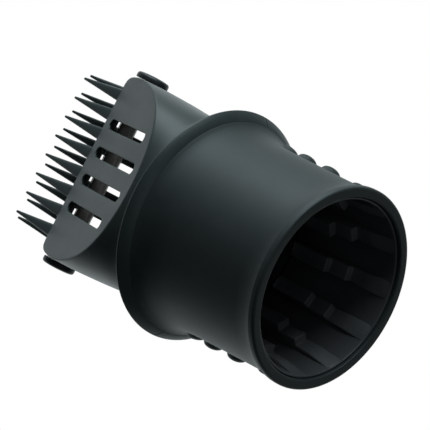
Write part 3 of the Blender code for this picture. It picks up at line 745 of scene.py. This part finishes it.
def ringPoints(height, halfWidth, squareness, count):
    points = []
    for i in range(count):
        angle = fullTurn * i / count
        x = squared(halfWidth, math.cos(angle), squareness)
        y = squared(halfWidth, math.sin(angle), squareness)
        points.append(Vector((x, y, height)) * mm)
    return points


def loftRings(bm, rings):
    made = [[bm.verts.new(p) for p in ring] for ring in rings]
    for low, high in zip(made, made[1:]):
        bridge(bm, low, high)
    bmesh.ops.triangulate(bm, faces=bm.faces)
    bm.faces.new(made[0])
    bm.faces.new(made[-1])


def slab(name, low, high):
    def build(bm):
        bmesh.ops.create_cube(bm, size=1.0)
        for v in bm.verts:
            v.co = Vector([(a + b) / 2 + c * (b - a) for a, b, c in zip(low, high, v.co)]) * mm
    return place(name, meshFrom(name, build))


def rod(name, start, end, radius, sides=48):
    start = Vector(start) * mm
    end = Vector(end) * mm
    turn = (end - start).to_track_quat("Z", "Y").to_matrix().to_4x4()
    matrix = Matrix.Translation((start + end) / 2) @ turn

    def build(bm):
        bmesh.ops.create_cone(
            bm, cap_ends=True, segments=sides, radius1=radius * mm, radius2=radius * mm,
            depth=(end - start).length, matrix=matrix)
    return place(name, meshFrom(name, build))


def faceSlope():
    return math.tan(math.radians(neckForm["slope"]))


def slopeCutter(name, side, topY):
    # everything outside the sloping face, down to the step above the rim
    low = neckForm["faceBase"]
    high = cutterForm["high"]
    far = cutterForm["far"]
    inner = [(topY + (neckForm["top"] - z) * faceSlope(), z) for z in (low, high)]
    outline = inner + [(far, high), (far, low)]

    def build(bm):
        ends = [[bm.verts.new(Vector((x, side * y, z)) * mm) for y, z in outline] for x in (-far, far)]
        joinOutlines(bm, *ends)
    return place(name, meshFrom(name, build))


def roundCornered(name, side, x, width, low, high, corner):
    left = x - width / 2 + corner
    right = x + width / 2 - corner
    top = high - corner
    bottom = low + corner
    outline = []
    for across, up, start in ((right, top, 0), (left, top, 90), (left, bottom, 180), (right, bottom, 270)):
        for point in arcLine(across, up, corner, start, start + 90, cutterForm["cornerSteps"]):
            if not outline or math.dist(point, outline[-1]) > cutterForm["samePoint"]:
                outline.append(point)

    def build(bm):
        depths = (0.0, side * cutterForm["across"])
        ends = [[bm.verts.new(Vector((a, y, b)) * mm) for a, b in outline] for y in depths]
        joinOutlines(bm, *ends)
    return place(name, meshFrom(name, build))


def neckRings(inset, low, high):
    rings = []
    for height, halfWidth, squareness in smoothLine(neckStations, neckForm["between"]):
        if low <= height <= high:
            rings.append(ringPoints(height, halfWidth - inset, squareness, neckForm["around"]))
    return rings


def bakeModifiers(item):
    bpy.context.view_layer.update()
    graph = bpy.context.evaluated_depsgraph_get()
    data = bpy.data.meshes.new_from_object(item.evaluated_get(graph))
    item.modifiers.clear()
    item.data = data


def carve(item, cutter):
    modifier = item.modifiers.new(cutter.name, "BOOLEAN")
    modifier.operation = "DIFFERENCE"
    modifier.solver = "EXACT"
    modifier.object = cutter
    bakeModifiers(item)
    bpy.data.objects.remove(cutter, do_unlink=True)


def makeHollow(form):
    around = neckForm["around"]
    top = neckForm["top"] - neckForm["topWall"]
    rings = [ringPoints(*form["floor"], around)]
    rings += neckRings(neckForm["wall"], form["low"], top - form["roofStep"])
    rings += [ringPoints(top, *form["roof"], around)]
    hollow = place("airSpace", meshFrom("airSpace", loftRings, rings))
    inward = neckForm["faceWall"] / math.cos(math.radians(neckForm["slope"]))
    for side in (-1, 1):
        carve(hollow, slopeCutter("airSlope", side, neckForm["faceTop"] - inward))
    return hollow


def carveFront(neck):
    for x, low in zip(slotForm["centres"], slotForm["low"]):
        slot = roundCornered("slot", -1, x, slotForm["width"], low, slotForm["high"], slotForm["corner"])
        carve(neck, slot)


def carveBack(neck):
    form = windowForm
    for x, width in zip(form["centres"], form["widths"]):
        carve(neck, roundCornered("window", 1, x, width, form["low"], form["high"], form["corner"]))
    start, end = postForm["wellCut"]
    for x in (-postForm["x"], postForm["x"]):
        carve(neck, rod("screwWell", (x, start, postForm["z"]), (x, end, postForm["z"]), postForm["well"]))


def addTube(bm, start, end, outer, bore, sides=40):
    start = Vector(start) * mm
    end = Vector(end) * mm
    turn = (end - start).to_track_quat("Z", "Y").to_matrix().to_4x4()
    length = (end - start).length
    profile = [(outer * mm, 0.0), (outer * mm, length), (bore * mm, length), (bore * mm, 0.0)]
    spin(bm, profile, sides, Matrix.Translation(start) @ turn)


def addBosses(bm, side):
    # screw bosses that stand up from the foot of this half
    form = bossForm
    for degrees in form["angles"]:
        angle = math.radians(degrees)
        x = form["circle"] * math.cos(angle)
        y = form["circle"] * math.sin(angle)
        if y * side > 0:
            addTube(bm, (x, y, form["low"]), (x, y, form["high"]), form["radius"], form["hole"])


def addPosts(bm, side):
    # posts that the two joining screws pass through and hold in
    form = postForm
    z = form["z"]
    wall = neckForm["faceTop"] + (neckForm["top"] - z) * faceSlope() - form["shortOfWall"]
    for x in (-form["x"], form["x"]):
        if side < 0:
            addTube(bm, (x, -form["frontStart"], z), (x, -wall, z), form["radius"], bossForm["hole"])
        else:
            addTube(bm, (x, form["backStart"], z), (x, form["seat"], z), form["radius"], bossForm["hole"])
            addTube(bm, (x, form["wellStart"], z), (x, wall, z), form["radius"], form["well"])


def soften(item, voxel, rounds):
    # rebuilds the surface on an even mesh, which rounds every moulded edge a little
    remesh = item.modifiers.new("evenMesh", "REMESH")
    remesh.mode = "VOXEL"
    remesh.voxel_size = voxel
    remesh.use_smooth_shade = True
    smooth = item.modifiers.new("softEdges", "SMOOTH")
    smooth.factor = 0.5
    smooth.iterations = rounds
    bakeModifiers(item)
    item.data.shade_smooth()


def makeNeck(word, side):
    # all carving comes before the bosses and posts, which overlap the walls
    neck = place(f"{word}Neck", meshFrom(f"{word}Neck", loftRings, neckRings(0.0, 0.0, cutterForm["high"])))
    reach = cutterForm["across"]
    near, far = sorted((side * neckForm["parting"], -side * reach))
    carve(neck, makeHollow(airForm))
    carve(neck, slab("parting", (-reach, near, cutterForm["low"]), (reach, far, cutterForm["high"])))
    carve(neck, slopeCutter("outerSlope", side, neckForm["faceTop"]))
    if side < 0:
        carveFront(neck)
    else:
        carveBack(neck)
    ends = [(x, 0, axleHeight) for x in (-bearingForm["reach"], bearingForm["reach"])]
    carve(neck, rod("bearing", *ends, bearingForm["radius"]))
    carve(neck, slab("outlet", outletForm["low"], outletForm["high"]))
    bm = bmesh.new()
    bm.from_mesh(neck.data)
    addBosses(bm, side)
    addPosts(bm, side)
    bm.to_mesh(neck.data)
    bm.free()
    soften(neck, neckForm["voxel"], neckForm["smoothing"])
    dress(neck, "nozzle", "nozzle", "nozzle", f"{word}_shell")
    print(word, "neck made,", len(neck.data.vertices), "points")


makeNeck("front", -1)
makeNeck("back", 1)


# rim round the neck's foot: one half on each shell
rimForm = {
    "radius": 39.85 * mm, "top": 57.5 * mm, "under": 56.0 * mm, "skirt": 53.8 * mm, "bore": 37.0 * mm,
    "inner": 30.0 * mm, "edge": 0.5 * mm, "steps": 120, "across": 6, "split": 0.27, "sharp": 40,
    "lip": ((0.2 * mm, 0.03 * mm), (0.02 * mm, 0.0), (0.0, 0.05 * mm)),  # outward and up from the skirt
}


def rimProfile(form):
    edge = form["edge"]
    width = form["radius"] - edge - form["inner"]
    profile = [(form["inner"] + width * i / form["across"], form["top"]) for i in range(form["across"])]
    profile += arcLine(form["radius"] - edge, form["top"] - edge, edge, 90, -45, 10)
    profile += [(form["bore"] + out, form["skirt"] + up) for out, up in form["lip"]]
    profile += [(form["bore"], form["under"]), (form["inner"], form["under"])]
    return profile


def buildRim(bm, form, start):
    gap = math.radians(form["split"])
    spin(bm, rimProfile(form), form["steps"], startAngle=start + gap, endAngle=start + math.pi - gap)


for word, start in (("front", math.pi), ("back", 0.0)):
    rim = place(f"{word}Rim", meshFrom(f"{word}Rim", buildRim, rimForm, start))
    dress(rim, "nozzle", "nozzle", "nozzle", f"{word}_shell")
    keepSharp(rim, rimForm["sharp"])
print("rim made")


# comb rows, in mm: tapered teeth that run together in a round-bottomed gap
combRows = {
    "front": {"side": -1, "count": 8, "pitch": 7.33, "tip": 137.2, "root": 4.5},
    "back": {"side": 1, "count": 9, "pitch": 6.86, "tip": 137.9, "root": 4.0},
}
toothForm = {
    "start": 113.9, "shoulder": 115.0, "tipWidth": 0.8, "tipY": 1.35, "outer": 5.45, "inner": 1.35,
    "around": 28, "fillet": 0.65, "filletSteps": 8, "along": 16,
    "squareRoot": 4.5, "squareTip": 2.4, "squareFade": 1.4,
    "tipRise": 0.35, "tipSteps": (0.35, 0.7, 0.95),
}


def toothSections(form, row):
    # height, half width, middle, half thickness and share of the way up
    fillet = form["fillet"]
    low = form["shoulder"]
    heights = [form["start"]]
    heights += [low + fillet * i / form["filletSteps"] for i in range(form["filletSteps"] + 1)]
    body = row["tip"] - low - fillet - form["tipRise"]
    heights += [low + fillet + body * i / form["along"] for i in range(1, form["along"] + 1)]
    sections = []
    for height in heights:
        share = max(0.0, (height - low) / (row["tip"] - low))
        half = (row["root"] + (form["tipWidth"] - row["root"]) * share) / 2
        rise = height - low
        if rise < fillet:
            half += fillet - math.sqrt(max(0.0, fillet ** 2 - (fillet - max(0.0, rise)) ** 2))
        outer = form["outer"] + (form["tipY"] + form["tipWidth"] / 2 - form["outer"]) * share
        inner = form["inner"] + (form["tipY"] - form["tipWidth"] / 2 - form["inner"]) * share
        sections.append((height, half, (outer + inner) / 2, (outer - inner) / 2, share))
    height, half, middle, thick, share = sections[-1]
    for step in form["tipSteps"]:
        shrink = math.sqrt(1 - step ** 2)
        sections.append((height + form["tipRise"] * step, half * shrink, middle, thick * shrink, share))
    return sections


def addTooth(bm, form, row, x):
    rings = []
    for height, half, middle, thick, share in toothSections(form, row):
        fade = min(1.0, share * form["squareFade"])
        squareness = form["squareRoot"] + (form["squareTip"] - form["squareRoot"]) * fade
        ring = []
        for i in range(form["around"]):
            angle = fullTurn * i / form["around"]
            px = x + squared(half, math.cos(angle), squareness)
            py = middle + squared(thick, math.sin(angle), squareness)
            ring.append(bm.verts.new(Vector((px, row["side"] * py, height)) * mm))
        rings.append(ring)
    for low, high in zip(rings, rings[1:]):
        bridge(bm, low, high)
    bm.faces.new(rings[0])
    bm.faces.new(rings[-1])


def buildComb(bm, form, row):
    for index in range(row["count"]):
        addTooth(bm, form, row, (index - (row["count"] - 1) / 2) * row["pitch"])


for word, row in combRows.items():
    comb = place(f"{word}Comb", meshFrom(f"{word}Comb", buildComb, toothForm, row))
    dress(comb, "nozzle", "nozzle", "nozzle", f"{word}_shell")
print("comb rows made")


# turning rod: mineral tube and end knobs
knobForm = {
    "radius": 5.85 * mm, "base": 33.95 * mm, "length": 2.45 * mm, "edge": 1.0 * mm, "steps": 96, "sharp": 45,
    "crown": ((0.0, 0.0), (1.6, 0.02), (3.2, 0.1), (4.2, 0.2)),  # radius and drop of the end face, in mm
    "edgeDrop": 0.32 * mm, "edgeStart": 78, "backEdge": 0.3 * mm, "hole": 1.5 * mm, "holeDepth": 1.6 * mm,
}
tubeForm = {
    "radius": 3.0 * mm, "bore": 1.5 * mm, "half": 28.8 * mm, "edge": 0.3 * mm, "steps": 64, "along": 60,
    "sharp": 60,
}


def onAxle(x, degrees):
    shift = Matrix.Translation((x, 0.0, axleHeight * mm))
    return shift @ Matrix.Rotation(math.radians(degrees), 4, "Y")


def buildKnob(bm, form, side):
    edge = form["edge"]
    length = form["length"]
    back = form["backEdge"]
    profile = [(radius * mm, length - drop * mm) for radius, drop in form["crown"]]
    shoulder = length - form["edgeDrop"] - edge
    profile += arcLine(form["radius"] - edge, shoulder, edge, form["edgeStart"], 0, 10)
    profile += arcLine(form["radius"] - back, back, back, 0, -90, 4)
    profile += [(form["hole"], 0.0), (form["hole"], form["holeDepth"]), (0.0, form["holeDepth"])]
    spin(bm, profile, form["steps"], onAxle(side * form["base"], 90 * side), closed=False)


def buildTube(bm, form):
    half = form["half"]
    edge = form["edge"]
    radius = form["radius"]
    along = form["along"]
    profile = arcLine(radius - edge, -half + edge, edge, -90, 0, 5)
    profile += [(radius, -half + edge + (2 * half - 2 * edge) * i / along) for i in range(1, along)]
    profile += arcLine(radius - edge, half - edge, edge, 0, 90, 5)
    profile += [(form["bore"], half), (form["bore"], -half)]
    spin(bm, profile, form["steps"], onAxle(0.0, 90))


for word, side in (("left", -1), ("right", 1)):
    knob = place(f"{word}Knob", meshFrom(f"{word}Knob", buildKnob, knobForm, side))
    dress(knob, "knob", "rod", "knob", f"knob_{word}")
    keepSharp(knob, knobForm["sharp"])
tube = place("mineralRod", meshFrom("mineralRod", buildTube, tubeForm))
dress(tube, "mineral", "rod", "mineral", "mineral_tube")
keepSharp(tube, tubeForm["sharp"])
print("rod made")


# pieces that keep the shape they have in the frame get only a finish
keptFinishes = {
    "clamp_collar": "nozzle", "inlet_gasket": "gasket", "axle": "steel",
    "bush_left": "bush", "bush_right": "bush", "washer_left": "steel", "washer_right": "steel",
    "shell_screw_left": "steel", "shell_screw_right": "steel",
    "collar_screw_1": "steel", "collar_screw_2": "steel",
    "collar_screw_3": "steel", "collar_screw_4": "steel",
}
for name, finish in keptFinishes.items():
    item = nodes[name]
    if item.material_slots:
        for holder in item.material_slots:
            holder.material = finishes[finish]
    else:
        item.data.materials.append(finishes[finish])
print("kept pieces finished:", len(keptFinishes))


# floor, lamps and surrounding glow
studio = {
    "floorSize": 9.0, "floorDrop": 0.02 * mm,
    "floorTone": (0.84, 0.80, 0.79), "floorSecond": (0.80, 0.76, 0.75),
    "floorCloud": (6.0, 5.0, 0.6), "floorRough": (0.75, 0.9), "floorGlow": 0.36,
    "dimSide": 0.045, "brightSide": 1.05, "falloff": 1.25, "ahead": (0.08, 0.98), "backdrop": 1.0,
    "lightTone": (0.90, 0.985, 1.0),
    "key": {"size": 0.9, "power": 10.5, "away": 1.15, "up": 0.90, "near": 0.36, "right": 0.25},
    "top": {"size": 0.5, "power": 2.2, "away": 0.8, "side": (0.82, -0.28, 0.52)},
    "fill": {"size": 0.7, "power": 0.5, "away": 1.1, "up": -0.2, "near": 0.9, "right": 0.5},
}


def makeFloorFinish():
    # pale matt floor that can't be seen from below
    finish = bpy.data.materials.new("paleFloor")
    finish.use_nodes = True
    tree = finish.node_tree
    tree.nodes.clear()
    output = addNode(tree, "OutputMaterial", 600, 0)
    surface = addNode(tree, "BsdfPrincipled", 0, 100)
    clear = addNode(tree, "BsdfTransparent", 0, -300)
    choose = addNode(tree, "MixShader", 350, 0)
    where = addNode(tree, "TexCoord", -900, 0).outputs["Object"]
    cloud = addNoise(tree, where, *studio["floorCloud"], -600, 100)
    tone = addMix(tree, cloud, studio["floorTone"], studio["floorSecond"], -300, 100)
    rough = addRange(tree, cloud, 0.3, 0.7, *studio["floorRough"], -300, -100)
    tree.links.new(tone, surface.inputs["Base Color"])
    tree.links.new(tone, surface.inputs["Emission Color"])
    tree.links.new(rough, surface.inputs["Roughness"])
    surface.inputs["Emission Strength"].default_value = studio["floorGlow"]
    side = addNode(tree, "NewGeometry", -100, 300)
    tree.links.new(side.outputs["Backfacing"], choose.inputs[0])
    tree.links.new(surface.outputs[0], choose.inputs[1])
    tree.links.new(clear.outputs[0], choose.inputs[2])
    tree.links.new(choose.outputs[0], output.inputs[0])
    return finish


def makeFloor():
    half = studio["floorSize"] / 2
    data = bpy.data.meshes.new("floor")
    corners = [(-half, -half, 0), (half, -half, 0), (half, half, 0), (-half, half, 0)]
    data.from_pydata(corners, [], [(0, 1, 2, 3)])
    floor = place("floor", data)
    floor.location.z = frameLow.z - studio["floorDrop"]
    data.materials.append(makeFloorFinish())
    floor.visible_diffuse = False
    floor.visible_glossy = False
    floor.visible_shadow = False


def makeLight(name, setup):
    data = bpy.data.lights.new(name, "AREA")
    data.shape = "DISK"
    data.size = setup["size"]
    data.energy = setup["power"]
    data.color = studio["lightTone"]
    light = place(name, data)
    middle = (frameLow + frameHigh) / 2
    if "side" in setup:
        toward = Vector(setup["side"])
    else:
        toward = viewUp * setup["up"] - viewForward * setup["near"] + viewRight * setup["right"]
    light.location = middle + toward.normalized() * setup["away"]
    light.rotation_euler = (middle - light.location).to_track_quat("-Z", "Y").to_euler()


def makeWorld():
    # plain white to look at, but its light comes mostly from beyond the object
    world = bpy.data.worlds.new("studio")
    scene.world = world
    world.use_nodes = True
    tree = world.node_tree
    tree.nodes.clear()
    output = addNode(tree, "OutputWorld", 600, 0)
    glow = addNode(tree, "Background", 400, 0)
    where = addNode(tree, "TexCoord", -800, 0)
    aim = addNode(tree, "VectorMath", -600, 0, operation="DOT_PRODUCT")
    tree.links.new(where.outputs["Generated"], aim.inputs[0])
    aim.inputs[1].default_value = viewForward
    ahead = addRange(tree, aim.outputs["Value"], *studio["ahead"], 0.0, 1.0, -500, 0)
    shaped = addMath(tree, "POWER", ahead, studio["falloff"], -300, 0)
    light = addRange(tree, shaped, 0.0, 1.0, studio["dimSide"], studio["brightSide"], -150, 0)
    seen = addNode(tree, "LightPath", -400, 300).outputs["Is Camera Ray"]
    strength = addMix(tree, seen, light, studio["backdrop"], 0, 0, "FLOAT")
    tree.links.new(strength, glow.inputs["Strength"])
    tree.links.new(addMix(tree, seen, studio["lightTone"], (1, 1, 1), 0, 300), glow.inputs["Color"])
    tree.links.new(glow.outputs[0], output.inputs[0])


scene.view_settings.view_transform = "Standard"
makeFloor()
makeLight("keyLight", studio["key"])
makeLight("fillLight", studio["fill"])
makeLight("topLight", studio["top"])
makeWorld()
print("studio lit")
